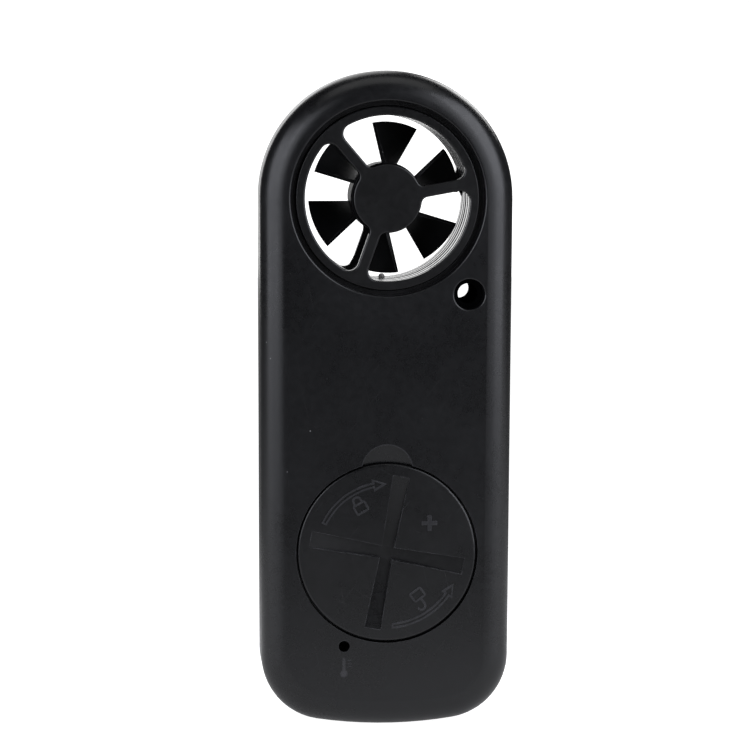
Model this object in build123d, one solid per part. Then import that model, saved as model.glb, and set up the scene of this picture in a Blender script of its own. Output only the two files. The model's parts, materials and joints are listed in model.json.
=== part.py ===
from build123d import *

import os
from math import acos, atan2, cos, degrees, hypot, radians, sin, sqrt, tan

# Pocket weather meter: wind and temperature, with an axial fan in a duct through its head.
# Millimetres. +Z runs up the case, the back faces -Y and the display faces +Y.
# The origin is under the middle of the base. Each function makes one named piece.

# ---------------------------------------------------------------- case
case_height = 104.0
case_width = 40.0  # across the round head
foot_width = 39.4  # across the foot: the sides lean in a little
case_depth = 17.0
button_proud = 1.0  # buttons stand out of the front face
wall = 1.8
edge_radius = 4.3  # round edge between a face and the sides
corner_radius = 10.5  # lower corners, seen from the back
base_radius = 70.0  # the base is a shallow arc
lip_height = 0.9  # tongue of the back shell inside the front shell
lip_width = 0.8
lip_clearance = 0.1
joint_gap = 0.1  # air between a boss and the board
root = 0.2  # how far a rib is sunk into the wall that carries it

# ---------------------------------------------------------------- duct and guards
duct_radius = 13.0
duct_step = 0.3  # the duct widens behind the guard's face
guard_ring = 1.5  # width of the guard's rim
mouth_gap = 0.8  # open ring between a guard and the mouth of its shell
mouth_depth = 2.4
mouth_round = 0.3
guard_recess = 1.2  # guard face below the case face
guard_thickness = 1.6
guard_round = 0.3
guard_hub_radius = 5.4
guard_hub_thickness = 2.6
guard_arm_width = 1.8
guard_arm_angle = 10.5  # first arm, counted from +X towards +Z
guard_arms = 3
window_ring_round = 1.5  # where an arm meets the ring
window_hub_round = 1.1
guard_flange = 0.9
guard_flange_reach = 1.1
guard_clearance = 0.1
seam_groove = 0.4  # open line between the two guards, inside the duct
rib_groove = 0.3  # shallow ring cut in the duct wall, halfway to the face
collar_wall = 2.0

# ---------------------------------------------------------------- fan
blades = 6
blade_angle = 21.8  # first blade, counted from +X towards +Z
blade_height = 5.0
blade_thickness = 0.7
blade_root_width = 3.1  # seen along the axis, at the hub
blade_tip_width = 8.4
rotor_tip_gap = 1.0
rotor_hub_radius = 5.6
rotor_hub_length = 8.4
rotor_hub_round = 0.5
shaft_radius = 0.6
journal_radius = 0.4
journal_clearance = 0.03
shaft_end_gap = 0.2
bearing_radius = 1.5
bearing_length = 1.6
magnet_radius = 3.6
magnet_length = 3.0
magnet_wall = 0.5  # hub wall behind the magnet

# ---------------------------------------------------------------- lanyard hole
lanyard_x = 12.85
lanyard_drop = 15.0  # below the middle of the duct
lanyard_radius = 1.6
lanyard_mouth_radius = 2.4
lanyard_mouth_depth = 2.8
lanyard_wall = 1.2

# ---------------------------------------------------------------- battery bay and its door
door_bottom = 13.9  # lowest point of the door's rim
door_rim = 1.3  # the door reaches this far past the bay's wall
door_gap = 0.2  # round the rim of the door
door_recess = 0.15  # door face below the case face
door_flange = 1.6
door_seat_gap = 0.1
door_boss = 2.5  # thickness of the door behind the coin cross
door_edge_round = 0.45
door_turn = 40.0  # degrees from closed to open
skirt_gap = 0.5  # between the cell and the door's skirt
skirt_wall = 1.5
slot_angle = -10.5  # the coin cross, turned from upright
slot_margin = 1.9  # from the end of the coin cross to the door's edge
slot_middle_width = 1.9
slot_end_width = 2.6
slot_depth = 1.15
slot_floor_radius = 90.0
lug_reach = 0.7  # past the ledge
lug_thickness = 0.8
lug_width = 24.0  # degrees
lug_count = 3
lug_first = 30.0
lug_clearance = 0.1
lug_end_gap = 0.2
notch_margin = 2.0  # degrees on each side of a lug
stop_width = 6.0  # degrees
ledge_gap = 0.2
ledge_thickness = 1.6
bay_wall = 1.2
bay_floor = 1.0
bay_floor_gap = 0.3
seal_section = 0.4
seal_inset = 0.7  # from the door's edge to the middle of the seal
seal_clearance = 0.04
pry_radius = 4.0
pry_drop = 1.0  # from the door's edge down to the middle of the scoop
pry_depth = 0.35  # at its upper rim
pry_tilt = 12.0  # degrees
mark_line = 0.24  # raised and sunk symbols are drawn with lines this wide
mark_height = 0.14
arrow_half = 0.42
arrow_head_half = 1.0
arrow_head_length = 2.1
closing_arrow = (3.2, 155.0, 91.0)  # from the door's edge, then start and end in degrees
opening_arrow = (2.5, -86.0, -25.0)
lock_inset = 5.9  # from the door's edge to the middle of a padlock
shut_lock_angle = 120.0
open_lock_angle = -54.0
open_lock_lift = 0.55
sign_inset = 6.0
sign_angle = 35.0
sign_length = 2.4
sign_width = 0.6

cell_radius = 10.0
cell_height = 3.2
cell_step = 0.5
cell_cap_inset = 1.2
cell_clearance = 0.2
door_cell_gap = 0.1
cup_wall = 1.0
contact_room = 1.6  # between the cell and the board
contact_width = 4.0
contact_sheet = 0.2
contact_slot_gap = 0.3

# ---------------------------------------------------------------- board
board_thickness = 1.2
board_inset = 2.4
board_drop = 19.2  # top edge of the board, below the middle of the duct
hole_margin = 0.3

# ---------------------------------------------------------------- unit switch, pressed with a pin
pin_x = -6.75
pin_z = 13.2
pin_radius = 0.9
pin_guide_wall = 0.8
pin_guide_gap = 0.5
unit_switch_size = 3.2
unit_switch_height = 1.6
unit_plunger_radius = 0.6
unit_plunger_proud = 0.4
unit_plunger_sunk = 0.5
symbol_drop = 3.4  # the thermometer symbol is this far below the pinhole

# ---------------------------------------------------------------- display
window_width = 29.0
window_height = 30.0
window_drop = 19.5  # top edge of the window, below the middle of the duct
window_corner = 2.5
window_thickness = 1.0
window_gap = 0.15
window_round = 0.2
tape_thickness = 0.15
view_width = 23.0
view_height = 17.0
display_drop = 1.0  # middle of the display, below the middle of the window
holder_width = 27.0
holder_height = 21.0
holder_wall = 0.8
holder_floor = 0.6
lcd_thickness = 2.8
lcd_clearance = 0.1
gasket_thickness = 0.3
backlight_thickness = 2.0
connector_width = 1.8
connector_margin = 0.6

# ---------------------------------------------------------------- buttons and their switches
button_x = 8.2
button_drop = 7.1  # below the screws of the battery bay
button_width = 11.6
button_height = 7.2
button_gap = 0.2
button_round = 0.7
button_flange = 0.9  # how far the flange reaches past the cap
button_flange_thickness = 0.8
button_stem_radius = 1.2
button_stem_gap = 0.05
switch_size = 6.0
switch_height = 3.4
plunger_radius = 1.7
plunger_proud = 0.5
plunger_sunk = 0.8
plunger_clearance = 0.1
plunger_floor_gap = 0.4

# ---------------------------------------------------------------- screws
screw_radius = 0.8
screw_bite = 0.02  # between a shank and its pilot hole
screw_clearance = 0.1
screw_head_radius = 1.4
screw_head_height = 1.0
screw_end_gap = 0.3
screw_cross = 0.45
boss_radius = 2.1
head_wall = 0.8
pilot_depth = 5.0
bay_screw_reach = 1.7  # past the edge of the cell
window_screw_x = 12.2
window_screw_drop = 2.7  # below the top edge of the window
board_screw_x = 14.0
board_screw_z = 9.8

# ---------------------------------------------------------------- sensors and small parts
hall_width = 4.0
hall_length = 2.6
hall_thickness = 1.3
hall_gap = 0.2
lead_radius = 0.2
lead_spacing = 1.27
lead_end_drop = 1.6  # below the top edge of the board
bead_radius = 0.5
bead_reach = 0.6  # how far the bead stands into the duct
bead_hole = 0.8
bead_leads = 0.25  # each lead from the middle
bead_lead_radius = 0.13
bead_from_parting = 4.7
chip_size = 7.0
chip_height = 1.3
chip_drop = 13.8  # below the top edge of the board
chip_pins = 8
chip_pin_reach = 0.9
chip_pin_width = 0.3
chip_pin_height = 0.25
chip_stand_off = 0.1
crystal_radius = 1.0
crystal_length = 6.0
crystal_x = 7.6
crystal_leads = 1.5
capacitor_size = (2.0, 0.8, 1.2)
capacitor_column = (-8.0, 2.5)  # place along X, and step along Z
capacitor_pair = (8.0, 10.8)
capacitor_rise = 5.0  # above or below the middle of the chip

# ---------------------------------------------------------------- places along Y
back_y = -(case_depth + button_proud) / 2
front_y = back_y + case_depth
parting_y = back_y + case_depth / 2
inner_back_y = back_y + wall
inner_front_y = front_y - wall

guard_back_y = back_y + guard_recess
guard_hub_end_y = guard_back_y + guard_hub_thickness
collar_end = guard_flange + guard_clearance

door_face_y = back_y + door_recess
flange_end_y = back_y + door_flange
seat_y = flange_end_y + door_seat_gap
ledge_end_y = seat_y + ledge_thickness
lug_y = ledge_end_y + lug_clearance
skirt_end_y = lug_y + lug_thickness
bay_floor_y = skirt_end_y + bay_floor_gap
door_boss_y = back_y + door_boss
cell_back_y = door_boss_y + door_cell_gap
cell_front_y = cell_back_y + cell_height
board_rear_y = cell_front_y + contact_room
board_front_y = board_rear_y + board_thickness
rear_boss_y = board_rear_y - joint_gap
front_boss_y = board_front_y + joint_gap
pin_guide_y = board_rear_y - unit_switch_height - unit_plunger_proud - pin_guide_gap

window_back_y = front_y - window_thickness
window_floor_y = window_back_y - tape_thickness
window_screw_y = window_floor_y - joint_gap - screw_head_height
lcd_front_y = inner_front_y - gasket_thickness
lcd_back_y = lcd_front_y - lcd_thickness
backlight_y = lcd_back_y - backlight_thickness
flange_front_y = inner_front_y - joint_gap
flange_back_y = flange_front_y - button_flange_thickness
switch_front_y = board_front_y + switch_height

hall_end_y = min(board_rear_y, parting_y - collar_end) - hall_gap
hall_y = hall_end_y - hall_thickness
bead_y = parting_y + bead_from_parting

# ---------------------------------------------------------------- places and sizes seen from the back
duct_z = case_height - case_width / 2
guard_radius = duct_radius + guard_ring
mouth_radius = guard_radius + mouth_gap
guard_flange_radius = guard_radius + guard_flange_reach
collar_radius = guard_radius + guard_clearance + collar_wall
rotor_radius = duct_radius - rotor_tip_gap
lanyard_z = duct_z - lanyard_drop

skirt_inner = cell_radius + skirt_gap
skirt_outer = skirt_inner + skirt_wall
ledge_radius = skirt_outer + ledge_gap
lug_radius = ledge_radius + lug_reach
bay_radius = lug_radius + lug_end_gap
door_radius = bay_radius - lug_end_gap + door_rim
seal_radius = door_radius - seal_inset
room_radius = door_radius + door_gap
mouth_outer = room_radius + head_wall
cup_radius = cell_radius + cell_clearance
bay_z = door_bottom + door_radius
bay_screw_x = cell_radius + bay_screw_reach
button_z = bay_z - button_drop

board_top = duct_z - board_drop
lead_end_z = board_top - lead_end_drop
chip_z = board_top - chip_drop
window_top = duct_z - window_drop
window_bottom = window_top - window_height
window_screw_z = window_top - window_screw_drop
display_z = (window_top + window_bottom) / 2 - display_drop
lcd_width = holder_width - 2 * holder_wall - 2 * lcd_clearance
lcd_height = holder_height - 2 * holder_wall - 2 * lcd_clearance


# ---------------------------------------------------------------- helpers
def prism(sketch, y0, y1):
    """A drawing in x and z, pulled from depth y0 to depth y1."""
    flat = Plane(origin=(0, y1, 0), x_dir=(1, 0, 0), z_dir=(0, -1, 0)) * sketch
    return extrude(flat, amount=y1 - y0, dir=(0, -1, 0))


def side_prism(points, x0, x1):
    """An outline of (y, z) points, pulled from x0 to x1."""
    flat = Plane(origin=(x0, 0, 0), x_dir=(0, 1, 0), z_dir=(1, 0, 0)) * outline(points)
    return extrude(flat, amount=x1 - x0, dir=(1, 0, 0))


def outline(points):
    return make_face(Polyline(*points, close=True))


def rod(radius, y0, y1, x=0.0, z=0.0):
    return prism(Pos(x, z) * Circle(radius), y0, y1)


def tube(outer, inner, y0, y1, x=0.0, z=0.0):
    return prism(Pos(x, z) * (Circle(outer) - Circle(inner)), y0, y1)


def block(x0, x1, y0, y1, z0, z1):
    return Pos((x0 + x1) / 2, (y0 + y1) / 2, (z0 + z1) / 2) * Box(x1 - x0, y1 - y0, z1 - z0)


def post(radius, x, y, z0, z1):
    """An upright round bar."""
    return Pos(x, y, (z0 + z1) / 2) * Cylinder(radius, z1 - z0)


def polar(radius, angle, z=0.0):
    return (radius * cos(radians(angle)), z + radius * sin(radians(angle)))


def sector(inner, outer, middle, width):
    """A flat piece of a ring: width degrees about the angle middle."""
    reach = outer * 2
    fan = outline([(0, 0), polar(reach, middle - width / 2), polar(reach, middle + width / 2)])
    return (Circle(outer) - Circle(inner)) & fan


def to_front(shape):
    """The mirror image in the parting plane."""
    return mirror(shape, about=Plane(origin=(0, parting_y, 0), z_dir=(0, 1, 0)))


def flat_edges(shape, y):
    """Edges that lie at depth y."""
    def is_flat(edge):
        box = edge.bounding_box()
        return abs(box.min.Y - y) < 1e-4 and abs(box.max.Y - y) < 1e-4
    return shape.edges().filter_by(is_flat)


def rim_edges(shape, y, radii):
    """Round edges at depth y that have one of the radii."""
    rims = flat_edges(shape, y).filter_by(GeomType.CIRCLE)
    return rims.filter_by(lambda edge: any(abs(edge.radius - r) < 1e-3 for r in radii))


def both_sides(x, z):
    return [(-x, z), (x, z)]


# ---------------------------------------------------------------- case outline
def case_outline(inset):
    """Round head, two leaning sides, two corners and a shallow base arc, all tangent."""
    head = case_width / 2
    corner_x = foot_width / 2 - corner_radius
    corner_z = base_radius - sqrt((base_radius - corner_radius) ** 2 - corner_x**2)
    rise = duct_z - corner_z
    side = atan2(rise, -corner_x) - acos((corner_radius - head) / hypot(corner_x, rise))
    low = atan2(corner_z - base_radius, corner_x)

    def on_arc(cx, cz, radius, angle):
        return (cx + (radius - inset) * cos(angle), cz + (radius - inset) * sin(angle))

    def flip(point):
        return (-point[0], point[1])

    shoulder = on_arc(0, duct_z, head, side)
    hip = on_arc(corner_x, corner_z, corner_radius, side)
    knee = on_arc(corner_x, corner_z, corner_radius, (side + low) / 2)
    heel = on_arc(corner_x, corner_z, corner_radius, low)
    edges = [
        ThreePointArc(shoulder, (0, case_height - inset), flip(shoulder)),
        Line(flip(shoulder), flip(hip)),
        ThreePointArc(flip(hip), flip(knee), flip(heel)),
        ThreePointArc(flip(heel), (0, inset), heel),
        ThreePointArc(heel, knee, hip),
        Line(hip, shoulder),
    ]
    return make_face(edges)


def case_body(inset):
    """The whole case as a solid, set in by inset all round."""
    y0, y1 = back_y + inset, front_y - inset
    body = prism(case_outline(inset), y0, y1)
    body = fillet(flat_edges(body, y0), edge_radius - inset)
    return fillet(flat_edges(body, y1), edge_radius - inset)


def shell(y0, y1):
    """The hollow case between two depths."""
    slab = block(-case_width, case_width, y0, y1, -1, case_height + 1)
    return (case_body(0) - case_body(wall)) & slab


# ---------------------------------------------------------------- back shell
def rear_casing():
    case = shell(back_y, parting_y)
    tongue = case_outline(wall - lip_width) - case_outline(wall)
    case += prism(tongue, parting_y - lip_height, parting_y + lip_height)
    case += rear_ribs() & case_body(wall - root)

    collar_y = parting_y - collar_end
    case -= rod(guard_radius + guard_clearance, back_y, collar_y, 0, duct_z)
    case -= rod(mouth_radius, back_y, back_y + mouth_depth, 0, duct_z)
    case -= block(-hall_width / 2 - hall_gap, hall_width / 2 + hall_gap, hall_y - hall_gap, collar_y,
                  duct_z - collar_radius - 1, duct_z - guard_radius)
    case -= rod(lanyard_radius, back_y, parting_y, lanyard_x, lanyard_z)
    case -= rod(lanyard_mouth_radius, back_y, back_y + lanyard_mouth_depth, lanyard_x, lanyard_z)
    case -= rod(pin_radius, back_y, pin_guide_y, pin_x, pin_z)
    case -= battery_room()
    for x, z in both_sides(window_screw_x, window_screw_z):
        case -= rod(screw_radius + screw_bite, rear_boss_y - pilot_depth, rear_boss_y, x, z)
    for x, z in both_sides(bay_screw_x, bay_z):
        head_end = bay_floor_y + screw_head_height + joint_gap
        case -= rod(screw_head_radius + screw_clearance, bay_floor_y, head_end, x, z)
        case -= rod(screw_radius + screw_clearance, head_end, rear_boss_y, x, z)
    case -= pry_scoop()
    case -= prism(Pos(pin_x, pin_z - symbol_drop) * thermometer(), back_y, back_y + mark_height)
    return fillet(rim_edges(case, back_y, (mouth_radius, lanyard_mouth_radius)), mouth_round)


def rear_ribs():
    y = inner_back_y - root
    ribs = rod(collar_radius, y, parting_y - collar_end, 0, duct_z)
    ribs += rod(lanyard_mouth_radius + lanyard_wall, y, parting_y, lanyard_x, lanyard_z)
    ribs += rod(pin_radius + pin_guide_wall, y, pin_guide_y, pin_x, pin_z)
    ribs += rod(mouth_outer, y, ledge_end_y, 0, bay_z)
    ribs += rod(bay_radius + bay_wall, ledge_end_y, bay_floor_y + bay_floor, 0, bay_z)
    ribs += rod(cup_radius + cup_wall, bay_floor_y, rear_boss_y, 0, bay_z)
    for x, z in both_sides(window_screw_x, window_screw_z):
        ribs += rod(boss_radius, y, rear_boss_y, x, z)
    for x, z in both_sides(bay_screw_x, bay_z):
        ribs += rod(boss_radius, bay_floor_y, rear_boss_y, x, z)
    return ribs


def battery_room():
    """Room for the door, its lugs, the cell and the side contact."""
    room = rod(room_radius, back_y, seat_y, 0, bay_z)
    room += rod(ledge_radius, seat_y, ledge_end_y, 0, bay_z)
    room += rod(bay_radius, ledge_end_y, bay_floor_y, 0, bay_z)
    room += rod(cup_radius, bay_floor_y, rear_boss_y, 0, bay_z)
    notch = lug_width + 2 * notch_margin
    stop_turn = (lug_width + notch_margin + stop_width) / 2
    for middle in lug_angles():
        way_in = sector(ledge_radius - 1, lug_radius + lug_clearance, middle + door_turn, notch)
        room += prism(Pos(0, bay_z) * way_in, seat_y, ledge_end_y)
        stop = sector(skirt_outer + lug_clearance, bay_radius + 1, middle - stop_turn, stop_width)
        room -= prism(Pos(0, bay_z) * stop, ledge_end_y, bay_floor_y)
    half = contact_width / 2 + contact_slot_gap
    room += block(-half, half, bay_floor_y, rear_boss_y,
                  bay_z + cell_radius - 1, bay_z + cup_radius + cup_wall + contact_slot_gap)
    return room


def lug_angles():
    return [lug_first + k * 360 / lug_count for k in range(lug_count)]


def pry_scoop():
    """A shallow sloping scoop for a fingernail, deeper towards the door."""
    scoop_z = bay_z + door_radius - pry_drop
    top, low = scoop_z + pry_radius, scoop_z - pry_radius
    drop = (top - low) * tan(radians(pry_tilt))
    deep = back_y + pry_depth
    slope = [(back_y - 1, top), (deep, top), (deep + drop, low), (back_y - 1, low)]
    cut = side_prism(slope, -pry_radius, pry_radius)
    return cut & rod(pry_radius, back_y - 1, seat_y, 0, scoop_z)


# ---------------------------------------------------------------- front shell
def front_casing():
    case = shell(parting_y, front_y)
    groove = case_outline(wall - lip_width - lip_clearance) - case_outline(wall + 1)
    case -= prism(groove, parting_y, parting_y + lip_height + lip_clearance)
    case += front_ribs() & case_body(wall - root)

    collar_y = parting_y + collar_end
    case -= rod(guard_radius + guard_clearance, collar_y, front_y, 0, duct_z)
    case -= rod(mouth_radius, front_y - mouth_depth, front_y, 0, duct_z)
    case -= post(bead_hole, 0, bead_y, duct_z - collar_radius - 1, duct_z - guard_radius)
    case -= rod(lanyard_radius, parting_y, front_y, lanyard_x, lanyard_z)
    case -= prism(window_sketch(window_gap), window_floor_y, front_y)
    case -= prism(view_sketch(0), inner_front_y - 1, front_y)
    for x, z in both_sides(button_x, button_z):
        case -= prism(button_sketch(x, button_gap), inner_front_y - 1, front_y)
    for x, z in both_sides(window_screw_x, window_screw_z):
        case -= rod(screw_head_radius + screw_clearance, window_screw_y, front_y, x, z)
        case -= rod(screw_radius + screw_clearance, front_boss_y, window_screw_y, x, z)
    for x, z in blind_bosses():
        case -= rod(screw_radius + screw_bite, front_boss_y, front_boss_y + pilot_depth, x, z)
    return fillet(rim_edges(case, front_y, (mouth_radius, lanyard_radius)), mouth_round)


def front_ribs():
    y = inner_front_y + root
    ribs = rod(collar_radius, parting_y + collar_end, y, 0, duct_z)
    ribs += rod(lanyard_radius + lanyard_wall, parting_y, y, lanyard_x, lanyard_z)
    for x, z in both_sides(window_screw_x, window_screw_z):
        ribs += rod(screw_head_radius + head_wall, front_boss_y, y, x, z)
    for x, z in blind_bosses():
        ribs += rod(boss_radius, front_boss_y, y, x, z)
    return ribs


def blind_bosses():
    """Bosses of the front shell that take screws from behind."""
    return both_sides(bay_screw_x, bay_z) + both_sides(board_screw_x, board_screw_z)


def window_sketch(extra):
    middle = (window_bottom + window_top) / 2
    width, height = window_width + 2 * extra, window_height + 2 * extra
    return Pos(0, middle) * RectangleRounded(width, height, window_corner + extra)


def view_sketch(extra):
    return Pos(0, display_z) * Rectangle(view_width + 2 * extra, view_height + 2 * extra)


def button_sketch(x, extra):
    """A slot-shaped outline, grown by extra all round."""
    height = button_height + 2 * extra
    straight = button_width - button_height
    return Pos(x, button_z) * SlotCenterToCenter(straight, height)


# ---------------------------------------------------------------- duct and fan
def guard():
    """Back guard: a ring and a spider that carries the bearing, with half the duct behind it."""
    face_end = guard_back_y + guard_thickness
    plate = rod(guard_radius, guard_back_y, face_end, 0, duct_z)
    plate -= prism(Pos(0, duct_z) * guard_windows(), guard_back_y, face_end)
    plate = fillet(flat_edges(plate, guard_back_y), guard_round)
    part = plate + rod(guard_hub_radius, face_end, guard_hub_end_y, 0, duct_z)
    part += tube(guard_radius, duct_radius, face_end, parting_y, 0, duct_z)
    part += tube(guard_flange_radius, duct_radius, parting_y - guard_flange, parting_y, 0, duct_z)
    part -= rod(bearing_radius, guard_hub_end_y - bearing_length, guard_hub_end_y, 0, duct_z)
    step_y = face_end + duct_step
    rib_y = (step_y + parting_y) / 2
    part -= tube(duct_radius + duct_step, guard_hub_radius, face_end, step_y, 0, duct_z)
    part -= rod(duct_radius + rib_groove, rib_y - rib_groove / 2, rib_y + rib_groove / 2, 0, duct_z)
    return part - rod(duct_radius + seam_groove, parting_y - seam_groove, parting_y, 0, duct_z)


def guard_windows():
    """The openings between the arms, with rounded corners."""
    windows = Circle(duct_radius) - Circle(guard_hub_radius)
    for k in range(guard_arms):
        arm = Pos(guard_radius / 2, 0) * Rectangle(guard_radius, guard_arm_width)
        windows -= Rot(0, 0, guard_arm_angle + k * 360 / guard_arms) * arm
    middle = (duct_radius + guard_hub_radius) / 2
    windows = fillet([v for v in windows.vertices() if hypot(v.X, v.Y) > middle], window_ring_round)
    return fillet([v for v in windows.vertices() if hypot(v.X, v.Y) < middle - 2], window_hub_round)


def rear_guard():
    return guard()


def front_guard():
    """The same guard for the display side, with a hole for the temperature bead."""
    hole = post(bead_hole, 0, bead_y, duct_z - guard_radius - 1, duct_z - duct_radius + 1)
    return to_front(guard()) - hole


def rear_bearing():
    hole = journal_radius + journal_clearance
    return tube(bearing_radius, hole, guard_hub_end_y - bearing_length, guard_hub_end_y, 0, duct_z)


def front_bearing():
    return to_front(rear_bearing())


def rotor():
    """One moulding: a hub and six twisted blades."""
    y0, y1 = parting_y - rotor_hub_length / 2, parting_y + rotor_hub_length / 2
    hub = rod(rotor_hub_radius, y0, y1, 0, duct_z)
    wheel = fillet(flat_edges(hub, y0) + flat_edges(hub, y1), rotor_hub_round)
    blade = Pos(0, parting_y, duct_z) * blade_solid()
    blade &= rod(rotor_radius, y0, y1, 0, duct_z)
    centre = Axis((0, parting_y, duct_z), (0, -1, 0))
    for k in range(blades):
        wheel += blade.rotate(centre, blade_angle - 90 + k * 360 / blades)
    wheel -= rod(shaft_radius, y0, y1, 0, duct_z)
    return wheel - rod(magnet_radius, y0 + magnet_wall, y0 + magnet_wall + magnet_length, 0, duct_z)


def blade_solid():
    """A blade that points up from the axis, from inside the hub to past the tip."""
    sections = []
    growth = (blade_tip_width - blade_root_width) / (rotor_radius - rotor_hub_radius)
    for radius in (rotor_hub_radius - 1, rotor_radius + 1):
        width = blade_root_width + growth * (radius - rotor_hub_radius) - blade_thickness
        chord = hypot(width, blade_height)
        pitch = -degrees(atan2(width, blade_height))
        sections.append(Pos(0, 0, radius) * Rot(0, 0, pitch) * Rectangle(blade_thickness, chord))
    return loft(sections)


def rotor_shaft():
    """Steel pin: thick in the hub, with a thin journal at each end."""
    half = rotor_hub_length / 2
    reach = parting_y - guard_hub_end_y + bearing_length - shaft_end_gap
    pin = rod(shaft_radius, parting_y - half, parting_y + half, 0, duct_z)
    pin += rod(journal_radius, parting_y - reach, parting_y + reach, 0, duct_z)
    ends = flat_edges(pin, parting_y - reach) + flat_edges(pin, parting_y + reach)
    return chamfer(ends, journal_radius / 2)


def rotor_magnet():
    y = parting_y - rotor_hub_length / 2 + magnet_wall
    return tube(magnet_radius, shaft_radius, y, y + magnet_length, 0, duct_z)


# ---------------------------------------------------------------- battery door and cell
def battery_door():
    """A bayonet cap: coin cross outside, boss and skirt with lugs inside."""
    door = rod(door_radius, door_face_y, flange_end_y, 0, bay_z)
    door = fillet(flat_edges(door, door_face_y), door_edge_round)
    door += rod(skirt_outer, flange_end_y, skirt_end_y, 0, bay_z)
    door -= rod(skirt_inner, door_boss_y, skirt_end_y, 0, bay_z)
    for middle in lug_angles():
        lug = sector(skirt_outer - 0.5, lug_radius, middle, lug_width)
        door += prism(Pos(0, bay_z) * lug, lug_y, skirt_end_y)
    door -= seal_torus(seal_section + seal_clearance)
    door += prism(Pos(0, bay_z) * door_marks(), door_face_y - mark_height, door_face_y + mark_height)
    for turn in (0, 90):
        door -= coin_slot(turn)
    return door


def coin_slot(turn):
    """One bar of the coin cross: wider at its ends, its floor an arc that is deepest in the middle."""
    end, half = door_radius - slot_margin, slot_middle_width / 2
    tip = slot_end_width / 2
    bar = outline([(-tip, -end), (tip, -end), (half, 0), (tip, end), (-tip, end), (-half, 0)])
    bar = Pos(0, bay_z) * Rot(0, 0, slot_angle + turn) * bar
    wheel = Rot(0, 90, 0) * Cylinder(slot_floor_radius, case_width)
    wheel = Pos(0, back_y + slot_depth - slot_floor_radius, bay_z) * Rot(0, -slot_angle - turn, 0) * wheel
    return prism(bar, back_y, door_boss_y) & wheel


def door_marks():
    """Raised symbols: two curved arrows, two padlocks, and the sign of the cell's outer face."""
    marks = curved_arrow(*closing_arrow) + curved_arrow(*opening_arrow)
    out = door_radius - lock_inset
    marks += Rot(0, 0, shut_lock_angle - 90) * Pos(0, out) * padlock(0.0)
    marks += Rot(0, 0, open_lock_angle - 90) * Pos(0, out) * padlock(open_lock_lift)
    sign = Rectangle(sign_length, sign_width) + Rectangle(sign_width, sign_length)
    return marks + Pos(*polar(door_radius - sign_inset, sign_angle)) * sign


def curved_arrow(inset, start, end):
    """The outline of an arrow that follows the door's edge at a distance of inset."""
    radius = door_radius - inset
    return arrow_sketch(radius, start, end, 0) - arrow_sketch(radius, start, end, mark_line)


def arrow_sketch(radius, start, end, inset):
    """A curved arrow from start to end, in degrees, made smaller by inset on every side."""
    turn = 1 if end > start else -1
    step = turn * degrees(inset / radius)
    head_turn = turn * degrees(arrow_head_length / radius)
    tip_inset = hypot(arrow_head_length, arrow_head_half) / arrow_head_half
    tail, neck, tip = start + step, end - head_turn + step, end - step * tip_inset
    half = arrow_half - inset
    head = arrow_head_half * (tip - neck) / head_turn
    middle = (tail + neck) / 2
    edges = [
        Line(polar(radius - half, tail), polar(radius + half, tail)),
        ThreePointArc(polar(radius + half, tail), polar(radius + half, middle), polar(radius + half, neck)),
        Line(polar(radius + half, neck), polar(radius + head, neck)),
        Line(polar(radius + head, neck), polar(radius, tip)),
        Line(polar(radius, tip), polar(radius - head, neck)),
        Line(polar(radius - head, neck), polar(radius - half, neck)),
        ThreePointArc(polar(radius - half, neck), polar(radius - half, middle), polar(radius - half, tail)),
    ]
    return make_face(edges)


def padlock(lift):
    """A padlock: its shackle is lifted and swung aside when it is open."""
    body = RectangleRounded(2.2, 1.7, 0.3)
    body -= offset(body, -mark_line)
    shackle = (Circle(0.75) - Circle(0.75 - mark_line)) & (Pos(0, 0.5) * Rectangle(2, 1))
    leg = Pos(-0.75 + mark_line / 2, -0.25 - lift / 2) * Rectangle(mark_line, 0.6 + lift)
    legs = leg if lift else leg + mirror(leg, about=Plane.YZ)
    return body + Pos(lift, 1.25 + lift) * (shackle + legs)


def thermometer():
    """An upright thermometer with three ticks beside it."""
    symbol = Pos(0, -1.0) * Circle(0.6) + Pos(0, 0.2) * SlotCenterToCenter(2.2, 0.5, rotation=90)
    for k in range(3):
        symbol += Pos(0.85, 0.1 + 0.5 * k) * Rectangle(0.6, mark_line)
    return symbol


def seal_torus(section):
    return Pos(0, seat_y - seal_section - 0.02, bay_z) * Rot(90, 0, 0) * Torus(seal_radius, section)


def battery_door_seal():
    return seal_torus(seal_section)


def coin_cell():
    step_y = cell_front_y - cell_step
    can = rod(cell_radius, cell_back_y, step_y, 0, bay_z)
    cap = rod(cell_radius - cell_cap_inset, step_y, cell_front_y, 0, bay_z)
    can = fillet(flat_edges(can, cell_back_y), cell_step / 2)
    return can + fillet(flat_edges(cap, cell_front_y), cell_step / 2)


def cell_contact_negative():
    """Leaf spring on the board, bent down to the middle of the cell."""
    top, low, sheet = board_rear_y, cell_front_y, contact_sheet
    bends = [(top, -7.0), (top, -3.1), (low + sheet, 0.7), (low + sheet, 2.5), (top - 0.7, 4.5),
             (top - 0.9, 4.6), (low, 2.6), (low, 0.6), (top - sheet, -3.2), (top - sheet, -7.0)]
    return side_prism([(y, bay_z + z) for y, z in bends], -contact_width / 2, contact_width / 2)


def cell_contact_positive():
    """Strip on the board that reaches down a slot and leans on the side of the cell."""
    top, sheet = board_rear_y, contact_sheet
    touch = cell_front_y - cell_step - 0.4
    bends = [(top, 4.0), (top, 0.8), (touch + 0.6, 0.5), (touch, 0.0), (touch - 0.4, 0.35),
             (touch - 0.35, 0.6), (touch + 0.05, 0.3), (touch + 0.6, 0.75), (top - sheet, 1.05),
             (top - sheet, 4.0)]
    edge = bay_z + cell_radius
    return side_prism([(y, edge + z) for y, z in bends], -contact_width / 2, contact_width / 2)


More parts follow.
